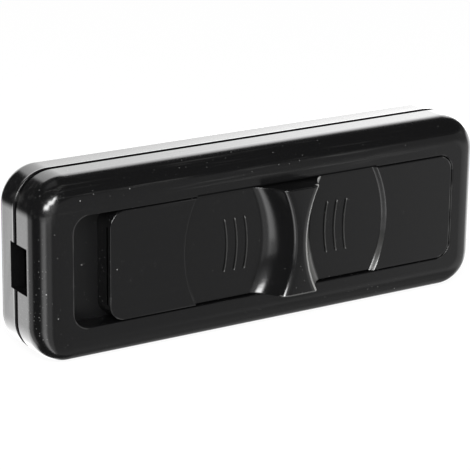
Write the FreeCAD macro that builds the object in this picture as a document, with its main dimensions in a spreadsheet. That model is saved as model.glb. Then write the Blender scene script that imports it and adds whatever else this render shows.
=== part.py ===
import FreeCAD, Part

import math
import os
import re

import Sketcher
from FreeCAD import Rotation, Vector

# An inline cord switch: two moulded shells around a slider that moves along the body.
#
# Each piece is drawn lying on the switch's back: x along the body, y across it, z from the back (0)
# towards the finger. place() then stands it on its long side, front face towards -Y, as it is kept.
# The origin is under the middle of that side. The slider is drawn where the switch rests, far right.

SIZES = {
    # housing
    "body_length": 92.0,
    "body_width": 32.6,
    "front_depth": 8.2,
    "groove_width": 0.9,
    "rear_depth": 6.5,
    "corner_radius": 6.6,
    "front_round": 4.55,
    "back_round": 2.5,
    "wall": 1.6,
    "front_wall": 1.8,
    "back_wall": 1.8,
    "tongue_clearance": 0.1,
    "tongue_thickness": 1.0,
    "tongue_overlap": 1.2,
    "entry_width": 8.3,
    "entry_in_front": 3.57,
    "entry_in_rear": 1.46,
    # pocket for the slider
    "pocket_margin_along": 6.45,
    "pocket_margin_across": 6.4,
    "pocket_depth": 4.5,
    "pocket_radius": 3.0,
    "pocket_wall": 1.3,
    "pocket_floor": 1.3,
    "rim_bevel": 0.25,
    # slider
    "travel": 6.8,
    "plate_clearance": 0.15,
    "running_clearance": 0.1,
    "field_radius": 21.15,
    "field_depth": 0.8,
    "field_roof": 1.4,
    "skirt_thickness": 1.4,
    "grip_height": 4.6,
    "grip_arc": 21.5,
    "crest_half": 0.7,
    "foot_half": 5.2,
    "flank_radius": 13.0,
    "crest_slope": 55.0,
    "crest_round": 0.7,
    "rib_first": 8.25,
    "rib_pitch": 2.08,
    "rib_half_length": 4.8,
    "rib_width": 0.3,
    "rib_height": 0.35,
    "core_width": 3.2,
    "core_margin": 2.75,
    "core_height": 1.6,
    "stem_radius": 2.3,
    "key_centre": 5.7,
    "key_thickness": 1.4,
    "key_width": 4.0,
    "key_reach": 1.5,
    # carrier under the pocket's floor
    "carrier_length": 15.6,
    "carrier_width": 15.2,
    "carrier_height": 5.95,
    "pole_spacing": 10.0,
    "bridge_length": 12.0,
    "bridge_width": 3.2,
    "bridge_thickness": 0.8,
    "bridge_foot": 2.0,
    "bridge_relief": 0.3,
    "bridge_play": 0.2,
    "bridge_seat": 0.85,
    "contact_gap": 0.05,
    "spring_span": 8.4,
    "spring_width": 2.6,
    "spring_thickness": 0.25,
    "spring_length": 2.8,
    "notch_depth": 0.7,
    "notch_half": 1.3,
    # fixed contacts and terminals
    "strip_width": 4.0,
    "strip_thickness": 0.5,
    "strip_seat": 1.0,
    "left_contact_end": 5.2,
    "right_contact_end": 0.4,
    "terminal_share": 0.646018,
    "terminal_length": 7.0,
    "terminal_width": 6.0,
    "terminal_height": 4.7,
    "wire_hole": 2.8,
    "wire_level": 2.1,
    "nest_wall": 1.2,
    "nest_height": 4.2,
    "barrier_thickness": 1.2,
    "barrier_height": 6.4,
    # detent
    "leaf_thickness": 0.3,
    "leaf_margin": 5.0,
    "leaf_height": 3.0,
    "leaf_level": 5.0,
    "leaf_bump": 1.2,
    "leaf_gap": 0.15,
    "post_size": 2.6,
    # cord grips
    "clamp_inset": 14.0,
    "clamp_length": 5.0,
    "clamp_width": 18.0,
    "clamp_thickness": 1.6,
    "clamp_screw_y": 6.6,
    "hook_wall": 1.0,
    "hook_reach": 1.5,
    "clamp_post_radius": 2.3,
    "clamp_post_height": 4.8,
    "saddle_width": 7.0,
    "saddle_height": 1.2,
    # cover screws
    "boss_inset_along": 8.0,
    "boss_inset_across": 5.5,
    "boss_level": 5.6,
    "front_boss_radius": 2.6,
    "rear_boss_radius": 4.2,
    "boss_bore_depth": 4.0,
    "counterbore_depth": 2.5,
    # screws: head radius, head height, shank radius and length
    "cover_head": 2.6,
    "cover_head_height": 1.6,
    "cover_shank": 1.25,
    "cover_shank_length": 6.7,
    "clamp_head": 2.1,
    "clamp_head_height": 1.1,
    "clamp_shank": 0.95,
    "clamp_shank_length": 5.0,
    "terminal_head": 1.9,
    "terminal_head_height": 1.2,
    "terminal_shank": 1.25,
    "terminal_shank_length": 2.0,
    "carrier_head": 2.0,
    "carrier_head_height": 1.3,
    "carrier_shank": 1.1,
    "carrier_shank_length": 6.4,
    "screw_clearance": 0.3,
    "thread_clearance": 0.05,
}

# levels above the back, and other places that several pieces share, as expressions
RIM = "(rear_depth + groove_width)"
FACE = f"({RIM} + front_depth)"
FLOOR_TOP = f"({FACE} - pocket_depth)"
FLOOR_UNDER = f"({FLOOR_TOP} - pocket_floor)"
FIELD = f"({FACE} - field_depth)"
ROOF = f"({FIELD} - field_roof)"
SKIRT_END = f"({FLOOR_TOP} + running_clearance)"
CARRIER_TOP = f"({FLOOR_UNDER} - running_clearance)"
CARRIER_END = f"({CARRIER_TOP} - carrier_height)"
CARRIER_SINK = "(carrier_head_height + 4 * screw_clearance)"
STRIP_LEVEL = "(back_wall + strip_seat)"
BRIDGE_LEVEL = f"({STRIP_LEVEL} + strip_thickness + contact_gap)"
SPRING_LEVEL = f"({BRIDGE_LEVEL} + bridge_thickness)"
TERMINAL_LEVEL = f"({STRIP_LEVEL} + strip_thickness)"
CLAMP_LEVEL = "(back_wall + clamp_post_height)"
TONGUE_TOP = f"({RIM} + tongue_overlap)"
TONGUE_INSET = "(wall + tongue_clearance)"
CAVITY_INSET = f"({TONGUE_INSET} + tongue_thickness)"
POCKET_LENGTH = "(body_length - 2 * pocket_margin_along)"
POCKET_WIDTH = "(body_width - 2 * pocket_margin_across)"
PLATE_LENGTH = f"({POCKET_LENGTH} - travel - 2 * plate_clearance)"
PLATE_WIDTH = f"({POCKET_WIDTH} - 2 * plate_clearance)"
PLATE_RADIUS = "(pocket_radius - plate_clearance)"
REST_X = "(travel / 2)"
CARRIER_WAY = "((carrier_length + travel) / 2)"
CLAMP_X = "(body_length / 2 - clamp_inset)"
FREE_LENGTH = f"({CLAMP_X} - clamp_length / 2 - {CARRIER_WAY} - terminal_length)"
TERMINAL_START = f"({CARRIER_WAY} + terminal_share * {FREE_LENGTH})"
TERMINAL_X = f"({TERMINAL_START} + terminal_length / 2)"
TERMINAL_END = f"({TERMINAL_START} + terminal_length)"
LEAF_END = f"({TERMINAL_START} - leaf_margin)"
BOSS_X = "(body_length / 2 - boss_inset_along)"
BOSS_Y = "(body_width / 2 - boss_inset_across)"
KEY_END = "(key_centre + key_thickness / 2)"
LEAF_Y = "(carrier_width / 2 + leaf_gap + leaf_bump)"

SIDES = {"left": -1, "right": 1}
ROWS = {"top": 1, "bottom": -1}
TOUCH = 0.01

doc = FreeCAD.newDocument("cord_switch")
sheet = doc.addObject("Spreadsheet::Sheet", "Sizes")
for row, (alias, size) in enumerate(SIZES.items(), 1):
    sheet.set(f"A{row}", alias.replace("_", " "))
    sheet.set(f"B{row}", str(size))
    sheet.setAlias(f"B{row}", alias)
doc.recompute()


def number(expression):
    """What an expression of the sheet's sizes comes to."""
    return float(sheet.evalExpression(expression))


def bind(thing, properties):
    """Tie properties of an object to expressions of the sheet's sizes."""
    for path, expression in properties.items():
        led = re.sub(r"[a-z_]+", lambda word: in_sheet(word.group()), expression)
        thing.setExpression(path, led)


def in_sheet(word):
    """A size's name, led by the sheet that holds it."""
    return f"Sizes.{word}" if word in SIZES else word


def settled(feature, grows=None):
    """Recompute, and stop if the feature failed or didn't add or remove what it should."""
    before = feature.BaseFeature.Shape.Volume if feature.BaseFeature else 0.0
    doc.recompute()
    if feature.Shape.isNull() or "Invalid" in feature.State:
        raise RuntimeError(f"{feature.Label} failed")
    change = feature.Shape.Volume - before
    if grows is not None and (change > 0) != grows:
        raise RuntimeError(f"{feature.Label} changed the volume by {change:.3f}")
    return feature


def new_piece(name):
    """A body for one piece; its label names its file."""
    piece = doc.addObject("PartDesign::Body", name)
    piece.Label = name
    return piece


def place(piece, x="0", y="0", z="0", turned=False):
    """Stand a piece on its long side; a turned one first has its top towards the back."""
    piece.Placement = FreeCAD.Placement(Vector(), Rotation(Vector(1, 0, 0), 270 if turned else 90))
    bind(piece, {
        "Placement.Base.x": x,
        "Placement.Base.y": f"({FACE} + grip_height) / 2 - ({z})",
        "Placement.Base.z": f"body_width / 2 + ({y})",
    })


def sketch_on(piece, role, name, level="0"):
    """A sketch on one of the piece's own origin planes, raised along the plane's normal."""
    plane = next(part for part in piece.Origin.OriginFeatures if part.Role == role)
    sketch = piece.newObject("Sketcher::SketchObject", f"{piece.Name}_{name}")
    sketch.AttachmentSupport = (plane, [""])
    sketch.MapMode = "FlatFace"
    bind(sketch, {"AttachmentOffset.Base.z": level})
    return sketch


def fix(sketch, constraint, expression):
    """Add a constraint whose value follows an expression."""
    index = sketch.addConstraint(Sketcher.Constraint(*constraint, number(expression)))
    bind(sketch, {f"Constraints[{index}]": expression})


def pin(sketch, line, end, x, y):
    """Hold a point of the sketch at the place that two expressions give."""
    fix(sketch, ("DistanceX", -1, 1, line, end), x)
    fix(sketch, ("DistanceY", -1, 1, line, end), y)


def circle(sketch, x, y, radius):
    """A circle about a point."""
    line = sketch.addGeometry(Part.Circle(Vector(number(x), number(y), 0), Vector(0, 0, 1), number(radius)))
    pin(sketch, line, 3, x, y)
    fix(sketch, ("Radius", line), radius)


def arc_between(start, end, radius, turn):
    """The arc from start to end that turns left (1) or right (-1), and which of its ends comes first."""
    chord = end - start
    rise = math.sqrt(max(radius ** 2 - chord.Length ** 2 / 4, 0))
    across = Vector(-chord.y, chord.x, 0).normalize()
    centre = (start + end) / 2 + across * rise * turn
    first, last = (start, end) if turn > 0 else (end, start)
    angles = [math.atan2(point.y - centre.y, point.x - centre.x) for point in (first, last)]
    arc = Part.ArcOfCircle(Part.Circle(centre, Vector(0, 0, 1), radius), *angles)
    return arc, (1, 2) if turn > 0 else (2, 1)


def outline(sketch, corners):
    """A closed outline. A corner is (x, y), or (x, y, radius, turn) where an arc leads to the next."""
    spots = [Vector(number(corner[0]), number(corner[1]), 0) for corner in corners]
    edges = []
    for index, corner in enumerate(corners):
        start, end = spots[index], spots[(index + 1) % len(spots)]
        if len(corner) == 2:
            edges.append((sketch.addGeometry(Part.LineSegment(start, end)), 1, 2))
            continue
        arc, ends = arc_between(start, end, number(corner[2]), corner[3])
        edges.append((sketch.addGeometry(arc), *ends))
    for index, corner in enumerate(corners):
        line, begin, finish = edges[index]
        following, its_begin, _ = edges[(index + 1) % len(edges)]
        sketch.addConstraint(Sketcher.Constraint("Coincident", line, finish, following, its_begin))
        pin(sketch, line, begin, corner[0], corner[1])
        if len(corner) > 2:
            fix(sketch, ("Radius", line), corner[2])


def rectangle(sketch, left, right, low, high):
    """A rectangle between two places in x and two in y."""
    outline(sketch, [(left, low), (right, low), (right, high), (left, high)])


def rounded_rectangle(sketch, half_x, half_y, radius):
    """A rectangle about the sketch's middle with round corners."""
    x_in, y_in = f"({half_x} - {radius})", f"({half_y} - {radius})"
    outline(sketch, [
        (half_x, f"-{y_in}"),
        (half_x, y_in, radius, 1),
        (x_in, half_y),
        (f"-{x_in}", half_y, radius, 1),
        (f"-{half_x}", y_in),
        (f"-{half_x}", f"-{y_in}", radius, 1),
        (f"-{x_in}", f"-{half_y}"),
        (x_in, f"-{half_y}", radius, 1),
    ])


def pad(piece, sketch, length, downward=False, midplane=False):
    """Add material along the sketch's normal."""
    feature = piece.newObject("PartDesign::Pad", f"{sketch.Name}_pad")
    feature.Profile = sketch
    feature.Reversed = downward
    feature.Midplane = midplane
    bind(feature, {"Length": length})
    return settled(feature, grows=True)


def pocket(piece, sketch, length, upward=False, midplane=False):
    """Remove material against the sketch's normal, or along it where upward."""
    feature = piece.newObject("PartDesign::Pocket", f"{sketch.Name}_pocket")
    feature.Profile = sketch
    feature.Reversed = upward
    feature.Midplane = midplane
    bind(feature, {"Length": length})
    return settled(feature, grows=False)


def rounded(piece, feature, name, radius, chosen):
    """Round the edges of a feature whose bounding boxes pass the test."""
    edges = [f"Edge{i}" for i, edge in enumerate(feature.Shape.Edges, 1) if chosen(edge.BoundBox)]
    fillet = piece.newObject("PartDesign::Fillet", f"{piece.Name}_{name}")
    fillet.Base = (feature, edges)
    bind(fillet, {"Radius": radius})
    return settled(fillet)


def bevelled(piece, feature, name, size, chosen):
    """Bevel the edges of a feature whose bounding boxes pass the test."""
    edges = [f"Edge{i}" for i, edge in enumerate(feature.Shape.Edges, 1) if chosen(edge.BoundBox)]
    bevel = piece.newObject("PartDesign::Chamfer", f"{piece.Name}_{name}")
    bevel.Base = (feature, edges)
    bind(bevel, {"Size": size})
    return settled(bevel)


def at_level(box, expression):
    """Whether an edge lies flat at a level."""
    level = number(expression)
    return abs(box.ZMin - level) < TOUCH and abs(box.ZMax - level) < TOUCH


def entries(sketch):
    """The two cord entries' outline through the end walls."""
    for side in SIDES.values():
        inner, outer = f"{side} * (body_length / 2 - 2.5 * wall)", f"{side} * (body_length / 2 + wall)"
        low, high = ("-entry_width / 2", "entry_width / 2")
        left, right = (inner, outer) if side > 0 else (outer, inner)
        rectangle(sketch, left, right, low, high)


def at_bosses():
    """The places of the two cover screws, in opposite corners."""
    for side in SIDES.values():
        yield f"{side} * {BOSS_X}", f"{-side} * {BOSS_Y}"


def front_cover():
    """The front shell, with the slider's pocket hanging from its face like a tray."""
    piece = new_piece("front_cover")
    shell = sketch_on(piece, "XY_Plane", "shell", RIM)
    rounded_rectangle(shell, "body_length / 2", "body_width / 2", "corner_radius")
    block = pad(piece, shell, "front_depth")
    rounded(piece, block, "front_edge", "front_round", lambda box: at_level(box, FACE))

    hollow = sketch_on(piece, "XY_Plane", "hollow", RIM)
    rounded_rectangle(hollow, "(body_length / 2 - wall)", "(body_width / 2 - wall)", "(corner_radius - wall)")
    cavity = pocket(piece, hollow, "front_depth - front_wall", upward=True)
    ceiling = f"({FACE} - front_wall)"
    bevelled(piece, cavity, "inner_edge", "(front_round - wall) / 2", lambda box: at_level(box, ceiling))

    tray = sketch_on(piece, "XY_Plane", "tray", FLOOR_UNDER)
    rounded_rectangle(tray, f"({POCKET_LENGTH} / 2 + pocket_wall)", f"({POCKET_WIDTH} / 2 + pocket_wall)",
                      "(pocket_radius + pocket_wall)")
    pad(piece, tray, "pocket_depth + pocket_floor - front_wall / 2")

    bosses = sketch_on(piece, "XY_Plane", "bosses", "boss_level")
    for x, y in at_bosses():
        circle(bosses, x, y, "front_boss_radius")
    pad(piece, bosses, f"{FACE} - front_wall / 2 - boss_level")

    well = sketch_on(piece, "XY_Plane", "well", FACE)
    half_x, half_y = f"({POCKET_LENGTH} / 2)", f"({POCKET_WIDTH} / 2)"
    rounded_rectangle(well, half_x, half_y, "pocket_radius")
    opened = pocket(piece, well, "pocket_depth")
    reach_x, reach_y = number(half_x) + TOUCH, number(half_y) + TOUCH
    bevelled(piece, opened, "well_rim", "rim_bevel",
             lambda box: at_level(box, FACE) and max(box.XMax, -box.XMin) < reach_x
             and max(box.YMax, -box.YMin) < reach_y)

    bores = sketch_on(piece, "XY_Plane", "screw_bores", "boss_level")
    for x, y in at_bosses():
        circle(bores, x, y, "cover_shank + thread_clearance")
    pocket(piece, bores, "boss_bore_depth", upward=True)

    slot = sketch_on(piece, "XY_Plane", "floor_slot", FLOOR_UNDER)
    reach = f"(travel / 2 + {KEY_END} + 2 * plate_clearance)"
    breadth = "(stem_radius + 2 * running_clearance)"
    rectangle(slot, f"-{reach}", reach, f"-{breadth}", breadth)
    pocket(piece, slot, "pocket_floor", upward=True)

    notch = sketch_on(piece, "XY_Plane", "entries", RIM)
    entries(notch)
    pocket(piece, notch, "entry_in_front", upward=True)
    place(piece)
    return piece


def rear_cover():
    """The rear shell: a tongue that fits inside the front shell, and the seats of the works."""
    piece = new_piece("rear_cover")
    shell = sketch_on(piece, "XY_Plane", "shell")
    rounded_rectangle(shell, "body_length / 2", "body_width / 2", "corner_radius")
    block = pad(piece, shell, "rear_depth")
    block = rounded(piece, block, "back_edge", "back_round", lambda box: at_level(box, "0"))
    bevelled(piece, block, "lip", "rim_bevel", lambda box: at_level(box, "rear_depth"))

    tongue = sketch_on(piece, "XY_Plane", "tongue", "rear_depth / 2")
    inset = f"(body_length / 2 - {TONGUE_INSET})", f"(body_width / 2 - {TONGUE_INSET})"
    rounded_rectangle(tongue, *inset, f"(corner_radius - {TONGUE_INSET})")
    pad(piece, tongue, f"{TONGUE_TOP} - rear_depth / 2")

    hollow = sketch_on(piece, "XY_Plane", "hollow", TONGUE_TOP)
    inset = f"(body_length / 2 - {CAVITY_INSET})", f"(body_width / 2 - {CAVITY_INSET})"
    rounded_rectangle(hollow, *inset, f"(corner_radius - {CAVITY_INSET})")
    pocket(piece, hollow, f"{TONGUE_TOP} - back_wall")

    notch = sketch_on(piece, "XY_Plane", "entries", TONGUE_TOP)
    entries(notch)
    pocket(piece, notch, f"{TONGUE_TOP} - rear_depth + entry_in_rear")

    bosses = sketch_on(piece, "XY_Plane", "bosses", "back_wall / 2")
    for x, y in at_bosses():
        circle(bosses, x, y, "rear_boss_radius")
    pad(piece, bosses, "boss_level - back_wall / 2")

    posts = sketch_on(piece, "XY_Plane", "clamp_posts", "back_wall / 2")
    for side in SIDES.values():
        circle(posts, f"{side} * {CLAMP_X}", "clamp_screw_y", "clamp_post_radius")
    pad(piece, posts, "clamp_post_height + back_wall / 2")

    hooks = sketch_on(piece, "XY_Plane", "clamp_hooks", "back_wall / 2")
    hook_low, hook_high = "(-clamp_width / 2 - hook_wall)", "(-clamp_width / 2 + hook_reach)"
    for side in SIDES.values():
        rectangle(hooks, f"{side} * {CLAMP_X} - clamp_length / 2", f"{side} * {CLAMP_X} + clamp_length / 2",
                  hook_low, hook_high)
    pad(piece, hooks, f"{CLAMP_LEVEL} + clamp_thickness + hook_wall - back_wall / 2")
    mouths = sketch_on(piece, "YZ_Plane", "clamp_mouths")
    rectangle(mouths, "-clamp_width / 2 - running_clearance", f"{hook_high} + running_clearance",
              CLAMP_LEVEL, f"{CLAMP_LEVEL} + clamp_thickness + running_clearance")
    pocket(piece, mouths, f"2 * {CLAMP_X} + 2 * clamp_length", midplane=True)

    seats = sketch_on(piece, "XY_Plane", "strip_seats", "back_wall / 2")
    for row in ROWS.values():
        low, high = (f"{row} * pole_spacing / 2 - strip_width / 2", f"{row} * pole_spacing / 2 + strip_width / 2")
        rectangle(seats, f"-{TERMINAL_END}", "-left_contact_end", low, high)
        rectangle(seats, "right_contact_end", TERMINAL_END, low, high)
    pad(piece, seats, "strip_seat + back_wall / 2")

    saddles = sketch_on(piece, "XY_Plane", "saddles", "back_wall / 2")
    for side in SIDES.values():
        rectangle(saddles, f"{side} * {CLAMP_X} - clamp_length / 4", f"{side} * {CLAMP_X} + clamp_length / 4",
                  "-saddle_width / 2", "saddle_width / 2")
    pad(piece, saddles, "saddle_height + back_wall / 2")

    nests = sketch_on(piece, "XY_Plane", "terminal_nests", "back_wall / 2")
    inner = "(pole_spacing / 2 + terminal_width / 2 + running_clearance)"
    for side in SIDES.values():
        left = f"({side} * {TERMINAL_X} - terminal_length / 2)"
        right = f"({side} * {TERMINAL_X} + terminal_length / 2)"
        rectangle(nests, left, right, inner, f"{inner} + nest_wall")
        rectangle(nests, left, right, f"-{inner} - nest_wall", f"-{inner}")
    pad(piece, nests, "nest_height + back_wall / 2")

    barriers = sketch_on(piece, "XY_Plane", "barriers", "back_wall / 2")
    for side in SIDES.values():
        left = f"({side} * {TERMINAL_X} - terminal_length / 2 - nest_wall)"
        right = f"({side} * {TERMINAL_X} + terminal_length / 2 + nest_wall)"
        rectangle(barriers, left, right, "-barrier_thickness / 2", "barrier_thickness / 2")
    pad(piece, barriers, "barrier_height + back_wall / 2")

    holders = sketch_on(piece, "XY_Plane", "leaf_posts", "back_wall / 2")
    post_y = f"({LEAF_Y} + leaf_thickness / 2)"
    for side in SIDES.values():
        middle = f"({side} * ({LEAF_END} - post_size / 2))"
        rectangle(holders, f"{middle} - post_size / 2", f"{middle} + post_size / 2",
                  f"{post_y} - post_size / 2", f"{post_y} + post_size / 2")
    pad(piece, holders, "leaf_level + leaf_height - back_wall / 2")

    grooves = sketch_on(piece, "XY_Plane", "leaf_grooves", "leaf_level + leaf_height")
    for side in SIDES.values():
        left = f"({side} * {LEAF_END} - post_size - running_clearance)"
        right = f"({side} * {LEAF_END} + post_size + running_clearance)"
        rectangle(grooves, left, right, f"{LEAF_Y} - running_clearance / 2",
                  f"{LEAF_Y} + leaf_thickness + running_clearance / 2")
    pocket(piece, grooves, "leaf_height")

    pilots = sketch_on(piece, "XY_Plane", "clamp_pilots", CLAMP_LEVEL)
    for side in SIDES.values():
        circle(pilots, f"{side} * {CLAMP_X}", "clamp_screw_y", "clamp_shank + thread_clearance")
    pocket(piece, pilots, "clamp_shank_length - clamp_thickness + screw_clearance")

    holes = sketch_on(piece, "XY_Plane", "screw_holes", "0")
    sinks = sketch_on(piece, "XY_Plane", "counterbores", "0")
    for x, y in at_bosses():
        circle(holes, x, y, "cover_shank + screw_clearance")
        circle(sinks, x, y, "cover_head + screw_clearance")
    pocket(piece, holes, "boss_level", upward=True)
    pocket(piece, sinks, "counterbore_depth", upward=True)
    place(piece)
    return piece


def grip_shift(y):
    """How far the grip's side arcs lie from their middles at a distance y from them."""
    return f"(grip_arc - sqrt(grip_arc ^ 2 - ({y}) ^ 2))"


def grip(piece):
    """The saddle grip: a block with a hollow finger scoop swept along an arc on each side."""
    half_y = f"({PLATE_WIDTH} / 2)"
    block = sketch_on(piece, "XY_Plane", "grip_block", FIELD)
    half_x = f"(foot_half + {grip_shift(half_y)} + rim_bevel)"
    rectangle(block, f"-{half_x}", half_x, f"-{half_y}", half_y)
    pad(piece, block, "grip_height + field_depth")
    for name, side in SIDES.items():
        scoop(piece, name, side, half_x, half_y)


def scoop(piece, name, side, half_x, half_y):
    """Sweep one flank's section along its arc, without turning it, and cut it from the grip's block."""
    over_y = f"({half_y} + crest_round)"
    shift = grip_shift(over_y)
    crest = f"({FACE} + grip_height)"
    path = sketch_on(piece, "XY_Plane", f"scoop_path_{name}", FIELD)
    ends = [Vector(number(f"{side} * {shift}"), number(y), 0) for y in (f"-{over_y}", over_y)]
    arc, order = arc_between(*ends, number("grip_arc"), -side)
    line = path.addGeometry(arc)
    for end, y in zip(order, (f"-{over_y}", over_y)):
        pin(path, line, end, f"{side} * {shift}", y)
    fix(path, ("Radius", line), "grip_arc")

    section = sketch_on(piece, "XZ_Plane", f"scoop_section_{name}", over_y)
    tangent = "(crest_round * tan(crest_slope / 2))"
    outside = f"({half_x} + grip_arc / 4)"
    corners = [
        ("foot_half", FIELD, "flank_radius", -side),
        (f"(crest_half + {tangent} * cos(crest_slope))", f"({crest} - {tangent} * sin(crest_slope))",
         "crest_round", side),
        (f"(crest_half - {tangent})", crest),
        (f"(crest_half - {tangent})", f"({crest} + crest_round)"),
        (outside, f"({crest} + crest_round)"),
        (outside, FIELD),
    ]
    outline(section, [(f"{side} * ({x} + {shift})", *rest) for x, *rest in corners])
    doc.recompute()
    cut = piece.newObject("PartDesign::SubtractivePipe", f"scoop_{name}")
    cut.Profile = section
    cut.Spine = (path, ["Edge1"])
    cut.Mode = "Fixed"
    settled(cut, grows=False)


def ribs(sketch):
    """Three fine arcs on each side of the grip, bowed like its flanks."""
    for side in SIDES.values():
        for index in range(3):
            near = f"(rib_first + {index} * rib_pitch - rib_width / 2)"
            far = f"(rib_first + {index} * rib_pitch + rib_width / 2)"
            bow = grip_shift("rib_half_length")
            near_end, far_end = f"{side} * ({near} + {bow})", f"{side} * ({far} + {bow})"
            outline(sketch, [
                (near_end, "-rib_half_length"),
                (far_end, "-rib_half_length", "grip_arc", -side),
                (far_end, "rib_half_length"),
                (near_end, "rib_half_length", "grip_arc", side),
            ])


def slider():
    """The finger plate: a skirted slab, two lands round the field, the grip, ribs and stem."""
    piece = new_piece("slider")
    grip(piece)
    half_x, half_y = f"({PLATE_LENGTH} / 2)", f"({PLATE_WIDTH} / 2)"
    slab = sketch_on(piece, "XY_Plane", "slab", SKIRT_END)
    rounded_rectangle(slab, half_x, half_y, PLATE_RADIUS)
    pad(piece, slab, f"{FIELD} - {SKIRT_END}")

    lands = sketch_on(piece, "XY_Plane", "lands", ROOF)
    chord = f"(sqrt(field_radius ^ 2 - {half_y} ^ 2))"
    x_in, y_in = f"({half_x} - {PLATE_RADIUS})", f"({half_y} - {PLATE_RADIUS})"
    for side in SIDES.values():
        outline(lands, [
            (f"{side} * {chord}", f"-{half_y}"),
            (f"{side} * {x_in}", f"-{half_y}", PLATE_RADIUS, side),
            (f"{side} * {half_x}", f"-{y_in}"),
            (f"{side} * {half_x}", y_in, PLATE_RADIUS, side),
            (f"{side} * {x_in}", half_y),
            (f"{side} * {chord}", half_y, "field_radius", -side),
        ])
    raised = pad(piece, lands, f"{FACE} - {ROOF}")
    bevelled(piece, raised, "land_rims", "rim_bevel", lambda box: at_level(box, FACE))

    rib_lines = sketch_on(piece, "XY_Plane", "ribs", ROOF)
    ribs(rib_lines)
    pad(piece, rib_lines, f"{FIELD} + rib_height - {ROOF}")

    hollow = sketch_on(piece, "XY_Plane", "hollow", SKIRT_END)
    rounded_rectangle(hollow, f"({half_x} - skirt_thickness)", f"({half_y} - skirt_thickness)",
                      f"({PLATE_RADIUS} - skirt_thickness)")
    pocket(piece, hollow, f"{ROOF} - {SKIRT_END}", upward=True)

    core = sketch_on(piece, "XY_Plane", "grip_core", ROOF)
    core_y = f"({half_y} - core_margin)"
    rectangle(core, "-core_width / 2", "core_width / 2", f"-{core_y}", core_y)
    pocket(piece, core, "core_height", upward=True)

    stem = sketch_on(piece, "XY_Plane", "stem", CARRIER_TOP)
    circle(stem, "0", "0", "stem_radius")
    pad(piece, stem, f"{ROOF} + core_height - {CARRIER_TOP}")

    keys = sketch_on(piece, "XY_Plane", "keys", f"{CARRIER_TOP} - key_reach")
    for side in SIDES.values():
        rectangle(keys, f"{side} * key_centre - key_thickness / 2", f"{side} * key_centre + key_thickness / 2",
                  "-key_width / 2", "key_width / 2")
    pad(piece, keys, f"{ROOF} - {CARRIER_TOP} + key_reach")

    pilot = sketch_on(piece, "XY_Plane", "stem_pilot", CARRIER_TOP)
    circle(pilot, "0", "0", "carrier_shank + thread_clearance")
    into_stem = f"(carrier_shank_length - carrier_height + {CARRIER_SINK})"
    pocket(piece, pilot, f"{into_stem} + screw_clearance", upward=True)
    place(piece, x=REST_X)
    return piece


def slide_carrier():
    """The block under the pocket's floor that takes the moving contacts along."""
    piece = new_piece("slide_carrier")
    block = sketch_on(piece, "XY_Plane", "block", CARRIER_END)
    rectangle(block, "-carrier_length / 2", "carrier_length / 2", "-carrier_width / 2", "carrier_width / 2")
    pad(piece, block, "carrier_height")

    seats = sketch_on(piece, "XY_Plane", "bridge_seats", CARRIER_END)
    wells = sketch_on(piece, "XY_Plane", "spring_wells", CARRIER_END)
    well_x = "(spring_span / 2 + bridge_play)"
    well_y = "(spring_width / 2 + bridge_play)"
    half_x = "(bridge_length / 2 + bridge_play)"
    half_y = "(bridge_width / 2 + bridge_play)"
    for row in ROWS.values():
        middle = f"({row} * pole_spacing / 2)"
        rectangle(seats, f"-{half_x}", half_x, f"{middle} - {half_y}", f"{middle} + {half_y}")
        rectangle(wells, f"-{well_x}", well_x, f"{middle} - {well_y}", f"{middle} + {well_y}")
    pocket(piece, seats, "bridge_seat", upward=True)
    pocket(piece, wells, f"{SPRING_LEVEL} + spring_length - {CARRIER_END}", upward=True)

    slots = sketch_on(piece, "XY_Plane", "key_slots", CARRIER_TOP)
    slot_half = "(key_thickness / 2 + thread_clearance)"
    for side in SIDES.values():
        rectangle(slots, f"{side} * key_centre - {slot_half}", f"{side} * key_centre + {slot_half}",
                  "-key_width / 2 - thread_clearance", "key_width / 2 + thread_clearance")
    pocket(piece, slots, "key_reach + thread_clearance")

    hole = sketch_on(piece, "XY_Plane", "screw_hole", CARRIER_END)
    circle(hole, "0", "0", "carrier_shank + screw_clearance")
    pocket(piece, hole, "carrier_height", upward=True)
    sink = sketch_on(piece, "XY_Plane", "screw_sink", CARRIER_END)
    circle(sink, "0", "0", "carrier_head + screw_clearance")
    pocket(piece, sink, CARRIER_SINK, upward=True)

    notches = sketch_on(piece, "XY_Plane", "detent_notches", CARRIER_TOP)
    for side in SIDES.values():
        middle = f"({side} * travel / 2)"
        outline(notches, [
            (f"{middle} - notch_half", "carrier_width / 2"),
            (f"{middle}", "carrier_width / 2 - notch_depth"),
            (f"{middle} + notch_half", "carrier_width / 2"),
            (f"{middle} + notch_half", "carrier_width / 2 + 1"),
            (f"{middle} - notch_half", "carrier_width / 2 + 1"),
        ])
    pocket(piece, notches, "carrier_height")
    place(piece, x=REST_X)
    return piece


def contact_bridge(row):
    """A copper bridge that touches the strips with a foot at each end."""
    piece = new_piece(f"contact_bridge_{row}")
    side = sketch_on(piece, "XZ_Plane", "side")
    foot = "(bridge_length / 2 - bridge_foot)"
    outline(side, [
        ("-bridge_length / 2", "0"), (f"-{foot}", "0"), (f"-{foot}", "bridge_relief"), (foot, "bridge_relief"),
        (foot, "0"), ("bridge_length / 2", "0"), ("bridge_length / 2", "bridge_thickness"),
        ("-bridge_length / 2", "bridge_thickness"),
    ])
    pad(piece, side, "bridge_width", midplane=True)
    place(piece, x=REST_X, y=f"{ROWS[row]} * pole_spacing / 2", z=BRIDGE_LEVEL)
    return piece


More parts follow.
